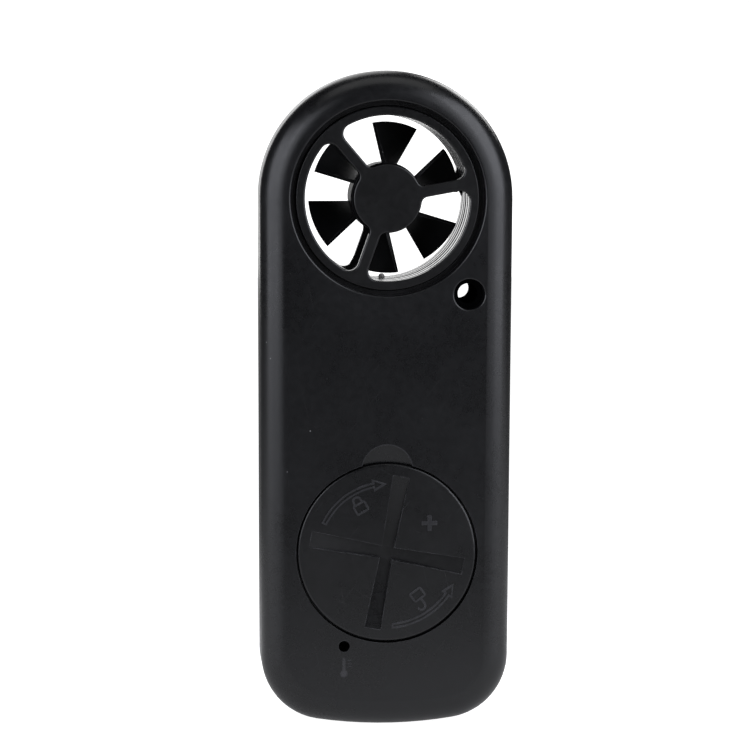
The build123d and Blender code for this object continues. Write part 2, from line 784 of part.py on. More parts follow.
# ---------------------------------------------------------------- board and what it carries
def circuit_board():
    board = prism(case_outline(board_inset), board_rear_y, board_front_y)
    board &= block(-case_width, case_width, board_rear_y, board_front_y, 0, board_top)
    places = both_sides(window_screw_x, window_screw_z) + blind_bosses()
    for x, z in places:
        board -= rod(screw_radius + hole_margin, board_rear_y, board_front_y, x, z)
    return board


def main_chip():
    half, y = chip_size / 2, board_rear_y - chip_height
    chip = block(-half, half, y, board_rear_y - chip_stand_off, chip_z - half, chip_z + half)
    pitch = chip_size / chip_pins
    for k in range(chip_pins):
        at = (k + 0.5) * pitch - half
        reach, side = half + chip_pin_reach, chip_pin_width / 2
        pin = block(-reach, reach, board_rear_y - chip_pin_height, board_rear_y, at - side, at + side)
        chip += Pos(0, 0, chip_z) * pin
        chip += Pos(0, 0, chip_z) * Rot(0, 90, 0) * pin
    return chip


def clock_crystal():
    """A small metal can that lies on the board beside the chip, with its two wires."""
    y, low = board_rear_y - crystal_radius, chip_z - crystal_length / 2
    crystal = post(crystal_radius, crystal_x, y, low, low + crystal_length)
    for side in (-1, 1):
        crystal += post(lead_radius, crystal_x + side * crystal_radius / 2, y, low - crystal_leads, low)
    return crystal


def board_capacitors():
    """Six chip capacitors: four in a column beside the chip and two above the crystal."""
    width, height, length = capacitor_size
    x, step = capacitor_column
    places = [(x, chip_z - capacitor_rise + step * k) for k in range(4)]
    places += [(x, chip_z + capacitor_rise) for x in capacitor_pair]
    parts = []
    for x, z in places:
        parts.append(block(x - width / 2, x + width / 2, board_rear_y - height, board_rear_y,
                           z - length / 2, z + length / 2))
    return Compound(children=parts)


def speed_sensor():
    """Hall sensor under the duct, with three leads to the board."""
    top = duct_z - guard_radius - hall_gap
    sensor = block(-hall_width / 2, hall_width / 2, hall_y, hall_end_y, top - hall_length, top)
    y = (hall_y + hall_end_y) / 2
    for k in (-1, 0, 1):
        x = k * lead_spacing
        sensor += post(lead_radius, x, y, lead_end_z, top - hall_length)
        sensor += Pos(x, y, lead_end_z) * Sphere(lead_radius)
        sensor += rod(lead_radius, min(y, board_rear_y), max(y, board_rear_y), x, lead_end_z)
    return sensor


def temperature_sensor():
    """Glass bead that stands into the duct, with two leads to the board."""
    top = duct_z - duct_radius + bead_reach
    sensor = Pos(0, bead_y, top - bead_radius) * Sphere(bead_radius)
    for x in (-bead_leads, bead_leads):
        sensor += post(bead_lead_radius, x, bead_y, lead_end_z, top - bead_radius)
        sensor += Pos(x, bead_y, lead_end_z) * Sphere(bead_lead_radius)
        sensor += rod(bead_lead_radius, board_front_y, bead_y, x, lead_end_z)
    return sensor


# ---------------------------------------------------------------- display
def display_window():
    pane = prism(window_sketch(0), window_back_y, front_y)
    return chamfer(flat_edges(pane, front_y), window_round)


def window_tape():
    return prism(window_sketch(-window_round) - view_sketch(0.4), window_floor_y, window_back_y)


def lcd_rectangle(width, height):
    return Pos(0, display_z) * Rectangle(width, height)


def lcd_holder():
    """Frame that stands on the board and holds the backlight and the display."""
    inner = lcd_rectangle(holder_width - 2 * holder_wall, holder_height - 2 * holder_wall)
    frame = prism(lcd_rectangle(holder_width, holder_height) - inner, board_front_y, inner_front_y)
    floor = lcd_rectangle(holder_width - holder_wall, holder_height - holder_wall)
    frame += prism(floor, backlight_y - holder_floor, backlight_y)
    for z in connector_rows():
        slot = connector_width / 2 + lcd_clearance
        half = connector_length() / 2 + lcd_clearance
        frame -= block(-half, half, backlight_y - holder_floor, backlight_y, z - slot, z + slot)
    return frame


def connector_rows():
    """Heights of the two rubber strips, at the lower and upper edge of the display."""
    reach = lcd_height / 2 - connector_width / 2 - lcd_clearance
    return [display_z - reach, display_z + reach]


def connector_length():
    return lcd_width - 2 * connector_margin


def lcd_connectors():
    strips = []
    for z in connector_rows():
        half = connector_length() / 2
        low, high = z - connector_width / 2, z + connector_width / 2
        strips.append(block(-half, half, board_front_y, lcd_back_y, low, high))
    return Compound(children=strips)


def lcd_backlight():
    height = lcd_height - 2 * (connector_width + 3 * lcd_clearance)
    return prism(lcd_rectangle(lcd_width, height), backlight_y, lcd_back_y)


def lcd_panel():
    return prism(lcd_rectangle(lcd_width, lcd_height), lcd_back_y, lcd_front_y)


def lcd_gasket():
    ring = lcd_rectangle(lcd_width, lcd_height) - view_sketch(lcd_clearance)
    return prism(ring, lcd_front_y, inner_front_y)


# ---------------------------------------------------------------- buttons and switches
def button(x, symbol):
    """An oval cap with a flange inside the case and a stem that reaches its switch."""
    cap = prism(button_sketch(x, 0), flange_back_y, front_y + button_proud)
    cap = fillet(flat_edges(cap, front_y + button_proud), button_round)
    cap += prism(button_sketch(x, button_flange), flange_back_y, flange_front_y)
    stem_y = switch_front_y + plunger_proud + button_stem_gap
    cap += rod(button_stem_radius, stem_y, flange_back_y, x, button_z)
    top = front_y + button_proud
    return cap - prism(Pos(x, button_z) * symbol, top - mark_height, top)


def mode_button():
    gap = Pos(0, 1) * Rectangle(1.0, 2)
    ring = (Circle(1.3) - Circle(1.3 - 1.5 * mark_line)) - gap
    return button(-button_x, ring + Pos(0, 1.0) * Rectangle(1.5 * mark_line, 1.4))


def set_button():
    chevron = outline([(-1.3, -0.7), (0, 0.6), (1.3, -0.7), (1.3, -0.1), (0, 1.2), (-1.3, -0.1)])
    return button(button_x, chevron)


def switch_body(x):
    half = switch_size / 2
    body = block(x - half, x + half, board_front_y, switch_front_y, button_z - half, button_z + half)
    floor = switch_front_y - plunger_sunk - plunger_floor_gap
    return body - rod(plunger_radius + plunger_clearance, floor, switch_front_y, x, button_z)


def switch_plunger(x):
    return rod(plunger_radius, switch_front_y - plunger_sunk, switch_front_y + plunger_proud, x, button_z)


def mode_switch_body():
    return switch_body(-button_x)


def mode_switch_plunger():
    return switch_plunger(-button_x)


def set_switch_body():
    return switch_body(button_x)


def set_switch_plunger():
    return switch_plunger(button_x)


def unit_switch_body():
    half, y = unit_switch_size / 2, board_rear_y - unit_switch_height
    body = block(pin_x - half, pin_x + half, y, board_rear_y, pin_z - half, pin_z + half)
    floor = y + unit_plunger_sunk + plunger_floor_gap
    return body - rod(unit_plunger_radius + plunger_clearance, y, floor, pin_x, pin_z)


def unit_switch_plunger():
    y = board_rear_y - unit_switch_height
    return rod(unit_plunger_radius, y - unit_plunger_proud, y + unit_plunger_sunk, pin_x, pin_z)


# ---------------------------------------------------------------- screws
def screw(x, z, head_y, seat, tip):
    """A cross-head screw: its head spans head_y to seat, its shank seat to tip."""
    body = rod(screw_head_radius, min(head_y, seat), max(head_y, seat), x, z)
    body += rod(screw_radius, min(seat, tip), max(seat, tip), x, z)
    deep = head_y + (seat - head_y) * 0.6
    length = screw_head_radius + screw_cross
    cross = Rectangle(length, screw_cross) + Rectangle(screw_cross, length)
    return body - prism(Pos(x, z) * cross, min(head_y, deep), max(head_y, deep))


def screw_pair(x, z, head_y, seat, tip):
    return Compound(children=[screw(px, pz, head_y, seat, tip) for px, pz in both_sides(x, z)])


def bay_screws():
    """Two screws under the battery door that hold the shells together at the foot."""
    head_y = bay_floor_y + joint_gap
    tip = front_boss_y + pilot_depth - screw_end_gap
    return screw_pair(bay_screw_x, bay_z, head_y, head_y + screw_head_height, tip)


def window_screws():
    """Two screws under the display window that hold the shells together at the head."""
    head_y = window_screw_y + screw_head_height
    tip = rear_boss_y - pilot_depth + screw_end_gap
    return screw_pair(window_screw_x, window_screw_z, head_y, window_screw_y, tip)


def board_screws():
    """Two screws that hold the board to the front shell."""
    tip = front_boss_y + pilot_depth - screw_end_gap
    return screw_pair(board_screw_x, board_screw_z, board_rear_y - screw_head_height, board_rear_y, tip)


# ---------------------------------------------------------------- all pieces
pieces = [
    rear_casing, front_casing, bay_screws, window_screws, board_screws,
    rear_guard, front_guard, rear_bearing, front_bearing, rotor, rotor_shaft, rotor_magnet,
    battery_door, battery_door_seal, coin_cell, cell_contact_negative, cell_contact_positive,
    circuit_board, main_chip, clock_crystal, board_capacitors, speed_sensor, temperature_sensor,
    display_window, window_tape, lcd_holder, lcd_connectors, lcd_backlight, lcd_panel, lcd_gasket,
    mode_button, set_button, mode_switch_body, mode_switch_plunger, set_switch_body, set_switch_plunger,
    unit_switch_body, unit_switch_plunger,
]

os.makedirs("parts", exist_ok=True)
for piece in pieces:
    export_step(piece(), f"parts/{piece.__name__}.step")
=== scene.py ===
import json
from math import cos, radians, sin

import bmesh
import bpy
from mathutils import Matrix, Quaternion, Vector


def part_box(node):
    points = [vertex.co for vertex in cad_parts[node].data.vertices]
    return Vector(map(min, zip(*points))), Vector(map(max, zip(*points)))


# A pocket weather meter with an axial fan, seen from behind. Metres, +Z up the case,
# the back faces -Y and the display faces +Y.

MM = 0.001

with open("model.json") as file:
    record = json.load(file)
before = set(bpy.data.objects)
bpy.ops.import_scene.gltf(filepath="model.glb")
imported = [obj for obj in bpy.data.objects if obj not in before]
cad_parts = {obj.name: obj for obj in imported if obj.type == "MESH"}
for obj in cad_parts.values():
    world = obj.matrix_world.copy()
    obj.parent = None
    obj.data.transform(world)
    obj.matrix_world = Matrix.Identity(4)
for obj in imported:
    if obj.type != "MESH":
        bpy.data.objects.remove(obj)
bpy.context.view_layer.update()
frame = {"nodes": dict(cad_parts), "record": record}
nodes = frame["nodes"]


# ---------------------------------------------------------------- places taken from the frame
def middle(node):
    low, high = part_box(node)
    return (low + high) / 2


BACK_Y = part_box("rear_casing")[0].y
DUCT = middle("rotor_shaft")
DOOR = middle("battery_door")
DOOR_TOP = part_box("battery_door")[1].z
PIN = middle("unit_switch_plunger")
LANYARD = Vector(next(m["pos_m"] for m in frame["record"]["mounts"] if m["name"] == "lanyard_hole"))
LANYARD_MOUTH = 2.35 * MM
HUB_REACH = 6.4 * MM
DUCT_RADIUS = 13.2 * MM
SYMBOL_DROP = 3.4 * MM
SYMBOL_REACH = 3.0 * MM
SCOOP_RADIUS = 4.0 * MM
SCOOP_DROP = 1.0 * MM


# ---------------------------------------------------------------- camera, floor and lights
AIM = Vector((-1.36, -0.5, 55.55)) * MM
CAMERA_TURN = radians(-4.43)
CAMERA_RISE = radians(5.5)
CAMERA_ROLL = radians(0.22)
CAMERA_DISTANCE = 0.461
CAMERA_LENS = 138.3

COOL = (0.90, 0.92, 1.0)

# what the room and the floor add to the light: the floor glows within FLOOR_LIT of the meter,
# fades to its far glow at FLOOR_DARK, and a bright strip stands on the wall behind it; the floor's colour
# is also painted paler near the meter, a painted pool of light
ROOM_GLOW = 0.03
FLOOR_GLOW = 0.28
FLOOR_GLOW_FAR = 0.03
FLOOR_LIT = 0.02
FLOOR_DARK = 0.20
PAINTED_POOL_NEAR = (0.6, 0.6, 0.6)
PAINTED_POOL_FAR = (0.15, 0.15, 0.15)
SCREEN_GLOW = 1.4
SCREEN_Y = 1.0
SCREEN_LEFT = 0.12
SCREEN_HALF = 0.30


def add_camera():
    back = Vector((
        sin(CAMERA_TURN) * cos(CAMERA_RISE),
        -cos(CAMERA_TURN) * cos(CAMERA_RISE),
        sin(CAMERA_RISE),
    ))
    data = bpy.data.cameras.new("camera")
    data.lens = CAMERA_LENS
    data.sensor_width = 36.0
    data.clip_start = 0.01
    camera = bpy.data.objects.new("camera", data)
    camera.location = AIM + back * CAMERA_DISTANCE
    camera.rotation_mode = "QUATERNION"
    camera.rotation_quaternion = (-back).to_track_quat("-Z", "Y") @ Quaternion((0, 0, 1), CAMERA_ROLL)
    bpy.context.scene.collection.objects.link(camera)
    bpy.context.scene.camera = camera


def add_light(name, place, aim, size, watts, colour=(1, 1, 1)):
    """A soft box at place that points at aim; size is (width, height)."""
    data = bpy.data.lights.new(name, "AREA")
    data.shape = "RECTANGLE"
    data.size, data.size_y = size
    data.energy = watts
    data.color = colour
    light = bpy.data.objects.new(name, data)
    light.location = Vector(place)
    light.rotation_mode = "QUATERNION"
    light.rotation_quaternion = (Vector(aim) - Vector(place)).to_track_quat("-Z", "Y")
    bpy.context.scene.collection.objects.link(light)


def add_lights():
    heart = (0, 0, 0.055)
    add_light("box_left", (-0.59, -0.25, 0.20), heart, (0.60, 0.60), 2.9, COOL)
    add_light("box_right", (0.54, -0.32, 0.30), heart, (0.52, 0.80), 4.2, COOL)
    add_light("near_left", (-0.37, -0.52, 0.20), heart, (0.26, 0.60), 0.85, COOL)
    add_light("near_right", (0.30, -0.56, 0.20), heart, (0.24, 0.60), 0.70, COOL)
    add_light("box_top", (0.0, -0.10, 0.75), heart, (0.7, 0.4), 0.7)
    add_light("display_key", (0.45, 0.75, 0.55), heart, (0.4, 0.4), 2.0)


def add_world():
    """A dim room that looks white where nothing stands in front of it."""
    world = bpy.data.worlds.new("studio")
    world.use_nodes = True
    tree = world.node_tree
    background = tree.nodes["Background"]
    background.inputs["Color"].default_value = (1, 1, 1, 1)
    seen = tree.nodes.new("ShaderNodeLightPath").outputs["Is Camera Ray"]
    tree.links.new(ramp(tree, seen, 0.0, 1.0, ROOM_GLOW, 1.0, smooth=False), background.inputs["Strength"])
    bpy.context.scene.world = world


def add_floor():
    """A pale floor that curves up into a wall on the display side."""
    mesh = bpy.data.meshes.new("floor")
    bm = bmesh.new()
    reach, front, bend, radius, height = 3.0, -2.6, 0.9, 0.6, 2.4
    path = [Vector((0, front, 0)), Vector((0, bend, 0))]
    for k in range(1, 17):
        turn = radians(90 * k / 16)
        path.append(Vector((0, bend + radius * sin(turn), radius * (1 - cos(turn)))))
    path.append(Vector((0, bend + radius, height)))
    left = [bm.verts.new(p - Vector((reach, 0, 0))) for p in path]
    edges = [bm.edges.new(pair) for pair in zip(left, left[1:])]
    made = bmesh.ops.extrude_edge_only(bm, edges=edges)["geom"]
    moved = [v for v in made if isinstance(v, bmesh.types.BMVert)]
    bmesh.ops.translate(bm, verts=moved, vec=(2 * reach, 0, 0))
    bmesh.ops.recalc_face_normals(bm, faces=bm.faces)
    for face in bm.faces:
        face.smooth = True
    bm.to_mesh(mesh)
    bm.free()
    floor = bpy.data.objects.new("floor", mesh)
    bpy.context.scene.collection.objects.link(floor)
    floor.data.materials.append(paper_material())


def paper_material():
    material = bpy.data.materials.new("white_paper")
    material.use_nodes = True
    shader = material.node_tree.nodes["Principled BSDF"]
    tree = material.node_tree
    shader.inputs["Roughness"].default_value = 0.9
    shader.inputs["Emission Color"].default_value = (1, 1, 1, 1)
    place = tree.nodes.new("ShaderNodeTexCoord").outputs["Object"]
    split = add_node(tree, "ShaderNodeSeparateXYZ", {"Vector": place})
    away = math(tree, "ABSOLUTE", split.outputs["Y"])
    pool = ramp(tree, away, FLOOR_LIT, FLOOR_DARK, FLOOR_GLOW, FLOOR_GLOW_FAR)
    # painted pool of light: the floor's colour is paler near the meter and darker away from it
    painted_pool_colour = blend_colours(tree, ramp(tree, away, FLOOR_LIT, FLOOR_DARK), PAINTED_POOL_NEAR, PAINTED_POOL_FAR)
    tree.links.new(painted_pool_colour, shader.inputs["Base Color"])
    aside = math(tree, "ABSOLUTE", math(tree, "ADD", split.outputs["X"], SCREEN_LEFT))
    screen = math(tree, "MULTIPLY", math(tree, "GREATER_THAN", split.outputs["Y"], SCREEN_Y),
                  ramp(tree, aside, SCREEN_HALF, SCREEN_HALF * 1.3, SCREEN_GLOW, 0.0))
    lit = math(tree, "MAXIMUM", pool, screen)
    seen = tree.nodes.new("ShaderNodeLightPath").outputs["Is Camera Ray"]
    tree.links.new(math(tree, "MAXIMUM", lit, seen), shader.inputs["Emission Strength"])
    return material


# ---------------------------------------------------------------- node helpers
def new_group(name, inputs, outputs):
    """A shader node group with named number inputs, given as name: default, and named outputs."""
    tree = bpy.data.node_groups.new(name, "ShaderNodeTree")
    for label, value in inputs.items():
        socket = tree.interface.new_socket(label, in_out="INPUT", socket_type="NodeSocketFloat")
        socket.default_value = value
    for label in outputs:
        tree.interface.new_socket(label, in_out="OUTPUT", socket_type="NodeSocketFloat")
    return tree, tree.nodes.new("NodeGroupInput"), tree.nodes.new("NodeGroupOutput")


def add_node(tree, kind, links=None, **values):
    """A node with its properties set and its inputs linked; values are properties or input defaults."""
    node = tree.nodes.new(kind)
    for key, value in values.items():
        if hasattr(node, key):
            setattr(node, key, value)
        else:
            node.inputs[key.replace("_", " ")].default_value = value
    for key, socket in (links or {}).items():
        tree.links.new(socket, node.inputs[key])
    return node


def math(tree, operation, a, b=None, clamp=False):
    """A Math node; a and b are sockets or numbers."""
    node = tree.nodes.new("ShaderNodeMath")
    node.operation = operation
    node.use_clamp = clamp
    for socket, value in zip(node.inputs, (a, b)):
        if isinstance(value, (int, float)):
            socket.default_value = value
        elif value is not None:
            tree.links.new(value, socket)
    return node.outputs[0]


def ramp(tree, value, low, high, to_low=0.0, to_high=1.0, smooth=True):
    """Maps value from low..high to to_low..to_high, held at both ends."""
    node = tree.nodes.new("ShaderNodeMapRange")
    node.interpolation_type = "SMOOTHSTEP" if smooth else "LINEAR"
    for key, number in (("From Min", low), ("From Max", high), ("To Min", to_low), ("To Max", to_high)):
        node.inputs[key].default_value = number
    tree.links.new(value, node.inputs["Value"])
    return node.outputs["Result"]


def blend_colours(tree, factor, first, second):
    """A colour between first and second; each is a colour or a socket."""
    node = tree.nodes.new("ShaderNodeMix")
    node.data_type = "RGBA"
    tree.links.new(factor, node.inputs["Factor"])
    for socket, value in ((node.inputs[6], first), (node.inputs[7], second)):
        if isinstance(value, tuple):
            socket.default_value = (*value, 1)
        else:
            tree.links.new(value, socket)
    return node.outputs[2]


# ---------------------------------------------------------------- shared effects
def make_moulded_surface():
    """The skin of a moulding: fine grain, and slow changes of tone from the mould and from hands."""
    scales = {"Grain": 4000.0, "Cloud": 60.0}
    tree, ins, outs = new_group("moulded_surface", scales, ("Height", "Tone", "Mottle"))
    place = tree.nodes.new("ShaderNodeTexCoord").outputs["Object"]
    fine = add_node(tree, "ShaderNodeTexNoise", {"Vector": place, "Scale": ins.outputs["Grain"]},
                    Detail=3.0, Roughness=0.6)
    slow = add_node(tree, "ShaderNodeTexNoise", {"Vector": place, "Scale": ins.outputs["Cloud"]},
                    Detail=3.0, Roughness=0.55)
    mottle = add_node(tree, "ShaderNodeTexNoise", {"Vector": place}, Scale=900.0, Detail=2.0)
    tree.links.new(fine.outputs["Fac"], outs.inputs["Height"])
    tree.links.new(ramp(tree, slow.outputs["Fac"], 0.3, 0.7), outs.inputs["Tone"])
    tree.links.new(ramp(tree, mottle.outputs["Fac"], 0.3, 0.7), outs.inputs["Mottle"])
    return tree


def make_handling_marks():
    """Dust specks and hairline scratches."""
    tree, ins, outs = new_group("handling_marks", {"Dust": 0.5, "Scratch": 0.5}, ("Specks", "Scratches"))
    place = tree.nodes.new("ShaderNodeTexCoord").outputs["Object"]
    cells = add_node(tree, "ShaderNodeTexVoronoi", {"Vector": place}, Scale=330.0, Randomness=1.0)
    pick = add_node(tree, "ShaderNodeSeparateColor", {"Color": cells.outputs["Color"]})
    near = ramp(tree, cells.outputs["Distance"], 0.02, 0.055, 1.0, 0.0)
    chosen = math(tree, "GREATER_THAN", pick.outputs["Red"], 0.72)
    speck = math(tree, "MULTIPLY", near, chosen)
    speck = math(tree, "MULTIPLY", speck, pick.outputs["Green"])
    tree.links.new(math(tree, "MULTIPLY", speck, ins.outputs["Dust"]), outs.inputs["Specks"])
    marks = None
    for turn, length in ((0.5, 4.5), (-0.9, 3.5), (1.35, 6.0)):
        lay = add_node(tree, "ShaderNodeMapping", {"Vector": place}, vector_type="TEXTURE")
        lay.inputs["Rotation"].default_value = (0.0, turn, 0.0)
        lay.inputs["Scale"].default_value = (length * MM, 2.0 * MM, 0.16 * MM)
        hair = add_node(tree, "ShaderNodeTexNoise", {"Vector": lay.outputs["Vector"]},
                        Scale=1.0, Detail=0.0)
        line = ramp(tree, hair.outputs["Fac"], 0.80, 0.86)
        marks = line if marks is None else math(tree, "MAXIMUM", marks, line)
    tree.links.new(math(tree, "MULTIPLY", marks, ins.outputs["Scratch"]), outs.inputs["Scratches"])
    return tree


def make_turned_lines():
    """The dull rings that run round the wall of the duct."""
    tree, ins, outs = new_group("turned_lines", {"Rings": 120.0}, ("Lines",))
    place = tree.nodes.new("ShaderNodeTexCoord").outputs["Object"]
    rings = add_node(tree, "ShaderNodeTexWave", {"Vector": place, "Scale": ins.outputs["Rings"]},
                     wave_type="BANDS", bands_direction="Y", wave_profile="SIN", Distortion=0.3, Detail=0.0)
    tree.links.new(ramp(tree, rings.outputs["Fac"], 0.60, 0.85), outs.inputs["Lines"])
    return tree


def make_edge_wear_and_highlight():
    """Wear and a painted highlight along edges, concave and convex alike: 1 where the surface turns sharply
    within Width, broken up by noise.
    """
    tree, ins, outs = new_group("edge_wear_and_highlight", {"Width": 0.00016, "Amount": 1.0}, ("Wear_and_highlight",))
    place = tree.nodes.new("ShaderNodeTexCoord").outputs["Object"]
    rounded = add_node(tree, "ShaderNodeBevel", {"Radius": ins.outputs["Width"]}, samples=4)
    straight = tree.nodes.new("ShaderNodeNewGeometry").outputs["Normal"]
    match = add_node(tree, "ShaderNodeVectorMath", {0: rounded.outputs["Normal"], 1: straight},
                     operation="DOT_PRODUCT")
    edge = ramp(tree, match.outputs["Value"], 0.80, 0.985, 1.0, 0.0)
    broken = add_node(tree, "ShaderNodeTexNoise", {"Vector": place}, Scale=700.0, Detail=3.0)
    patchy = ramp(tree, broken.outputs["Fac"], 0.35, 0.62, 0.25, 1.0)
    wear_and_highlight_mask = math(tree, "MULTIPLY", math(tree, "MULTIPLY", edge, patchy), ins.outputs["Amount"], clamp=True)
    tree.links.new(wear_and_highlight_mask, outs.inputs["Wear_and_highlight"])
    return tree


def make_disc():
    """A mask of a round patch seen from the back: 1 within Radius of (X, Z), fading over Soft."""
    sizes = {"X": 0.0, "Z": 0.0, "Radius": 1.0 * MM, "Soft": 0.1 * MM}
    tree, ins, outs = new_group("disc", sizes, ("Inside", "Distance"))
    place = tree.nodes.new("ShaderNodeTexCoord").outputs["Object"]
    split = add_node(tree, "ShaderNodeSeparateXYZ", {"Vector": place})
    across = math(tree, "SUBTRACT", split.outputs["X"], ins.outputs["X"])
    up = math(tree, "SUBTRACT", split.outputs["Z"], ins.outputs["Z"])
    squares = math(tree, "ADD", math(tree, "MULTIPLY", across, across), math(tree, "MULTIPLY", up, up))
    distance = math(tree, "SQRT", squares)
    left = math(tree, "SUBTRACT", ins.outputs["Radius"], distance)
    tree.links.new(math(tree, "DIVIDE", left, ins.outputs["Soft"], clamp=True), outs.inputs["Inside"])
    tree.links.new(distance, outs.inputs["Distance"])
    return tree


def make_depth_band():
    """A mask of the surfaces that lie between two depths."""
    tree, ins, outs = new_group("depth_band", {"From": 0.0, "To": 0.001}, ("Inside",))
    place = tree.nodes.new("ShaderNodeTexCoord").outputs["Object"]
    depth = add_node(tree, "ShaderNodeSeparateXYZ", {"Vector": place}).outputs["Y"]
    above = math(tree, "GREATER_THAN", depth, ins.outputs["From"])
    below = math(tree, "LESS_THAN", depth, ins.outputs["To"])
    tree.links.new(math(tree, "MULTIPLY", above, below), outs.inputs["Inside"])
    return tree


def use_group(tree, group, **values):
    node = tree.nodes.new("ShaderNodeGroup")
    node.node_tree = group
    for key, value in values.items():
        node.inputs[key].default_value = value
    return node.outputs


# ---------------------------------------------------------------- materials
def start_material(name, roughness=0.5, **sockets):
    material = bpy.data.materials.new(name)
    material.use_nodes = True
    shader = material.node_tree.nodes["Principled BSDF"]
    shader.inputs["Roughness"].default_value = roughness
    for key, value in sockets.items():
        shader.inputs[key.replace("_", " ")].default_value = value
    return material, material.node_tree, shader


def add_bump(tree, shader, height, strength, distance):
    bump = add_node(tree, "ShaderNodeBump", {"Height": height}, Strength=strength, Distance=distance)
    tree.links.new(bump.outputs["Normal"], shader.inputs["Normal"])


def black_plastic(name, dark, light, roughness, grain=4200.0, depth=0.000005, dust=0.6, scratch=0.5,
                  wear_and_highlight=0.6, shine=0.5, turned=False, polished=None):
    """Black moulding with a satin skin.

    shine is the specular level, turned adds the dull rings of a bored wall, and the last argument
    makes a mask in the tree of the places painted paler: a painted highlight on raised marks and on the
    scoop rim, and pale sunk symbols."""
    material, tree, shader = start_material(name, Specular_IOR_Level=shine)
    skin = use_group(tree, MOULDED_SURFACE, Grain=grain, Cloud=70.0)
    marks = use_group(tree, HANDLING_MARKS, Dust=dust, Scratch=scratch)
    edges = use_group(tree, EDGE_WEAR_AND_HIGHLIGHT, Amount=wear_and_highlight)["Wear_and_highlight"]
    colour = blend_colours(tree, skin["Tone"], dark, light)
    # edge wear and painted edge highlight: sharp edges painted pale grey
    colour = blend_colours(tree, edges, colour, EDGE_WEAR_AND_HIGHLIGHT_GREY)
    if polished:
        # painted highlight on raised marks and the scoop rim, and pale sunk symbols, from the mask
        colour = blend_colours(tree, polished(tree), colour, PALE_AND_HIGHLIGHT_GREY)
    colour = blend_colours(tree, marks["Specks"], colour, DUST_GREY)
    colour = blend_colours(tree, math(tree, "MULTIPLY", marks["Scratches"], 0.25), colour, SCRATCH_GREY)
    tree.links.new(colour, shader.inputs["Base Color"])
    rough = math(tree, "MULTIPLY_ADD", skin["Mottle"], 0.05)
    rough.node.inputs[2].default_value = roughness - 0.05
    rough = math(tree, "ADD", rough, math(tree, "MULTIPLY", skin["Tone"], 0.06))
    rough = math(tree, "SUBTRACT", rough, math(tree, "MULTIPLY", marks["Scratches"], 0.10), clamp=True)
    if turned:
        rings = math(tree, "MULTIPLY", use_group(tree, TURNED_LINES)["Lines"], 0.9)
        rough = math(tree, "ADD", rough, rings, clamp=True)
    tree.links.new(rough, shader.inputs["Roughness"])
    add_bump(tree, shader, skin["Height"], 0.5, depth)
    return material


def tinted_plastic(name, dark, light, roughness, grain=5200.0, depth=0.000008):
    material, tree, shader = start_material(name)
    skin = use_group(tree, MOULDED_SURFACE, Grain=grain, Cloud=160.0)
    tree.links.new(blend_colours(tree, skin["Tone"], dark, light), shader.inputs["Base Color"])
    rough = ramp(tree, skin["Mottle"], 0.0, 1.0, roughness - 0.05, roughness + 0.05)
    tree.links.new(rough, shader.inputs["Roughness"])
    add_bump(tree, shader, skin["Height"], 0.5, depth)
    return material


def turned_metal(name, dark, light, roughness, stretch):
    """Metal with fine drawn or turned lines."""
    material, tree, shader = start_material(name, Metallic=1.0)
    place = tree.nodes.new("ShaderNodeTexCoord").outputs["Object"]
    lay = add_node(tree, "ShaderNodeMapping", {"Vector": place})
    lay.inputs["Scale"].default_value = tuple(100 * s for s in stretch)
    lines = add_node(tree, "ShaderNodeTexNoise", {"Vector": lay.outputs["Vector"]}, Scale=6.0, Detail=4.0)
    tree.links.new(blend_colours(tree, lines.outputs["Fac"], dark, light), shader.inputs["Base Color"])
    rough = ramp(tree, lines.outputs["Fac"], 0.3, 0.7, roughness, roughness + 0.15)
    tree.links.new(rough, shader.inputs["Roughness"])
    add_bump(tree, shader, lines.outputs["Fac"], 0.3, 0.000006)
    return material


def clear_window():
    material, tree, shader = start_material("window_clear", 0.04, Transmission_Weight=1.0, IOR=1.49)
    shader.inputs["Base Color"].default_value = (0.96, 0.97, 0.97, 1)
    skin = use_group(tree, MOULDED_SURFACE, Grain=2500.0, Cloud=45.0)
    marks = use_group(tree, HANDLING_MARKS, Dust=0.4, Scratch=0.8)
    rough = math(tree, "ADD", math(tree, "MULTIPLY", marks["Scratches"], 0.25), 0.03)
    rough = math(tree, "ADD", rough, math(tree, "MULTIPLY", skin["Tone"], 0.03), clamp=True)
    tree.links.new(rough, shader.inputs["Roughness"])
    return material


# edge wear and painted edge highlight: the pale grey laid along sharp edges
EDGE_WEAR_AND_HIGHLIGHT_GREY = (0.080, 0.080, 0.086)
# painted highlight on raised marks and the scoop rim, and the paler floor of sunk symbols
PALE_AND_HIGHLIGHT_GREY = (0.040, 0.040, 0.044)
DUST_GREY = (0.34, 0.34, 0.35)
SCRATCH_GREY = (0.16, 0.16, 0.17)

MOULDED_SURFACE = make_moulded_surface()
EDGE_WEAR_AND_HIGHLIGHT = make_edge_wear_and_highlight()
DISC = make_disc()
DEPTH_BAND = make_depth_band()
HANDLING_MARKS = make_handling_marks()
TURNED_LINES = make_turned_lines()


def dress(material, *names):
    """Gives CAD nodes a material."""
    for name in names:
        for slot in nodes[name].material_slots:
            slot.material = material


def raised_marks_highlight(tree):
    """The raised symbols on the battery door, painted paler as a painted highlight on them."""
    band = use_group(tree, DEPTH_BAND, From=BACK_Y - 0.1 * MM, To=BACK_Y + 0.08 * MM)
    return math(tree, "MULTIPLY", band["Inside"], 0.45)


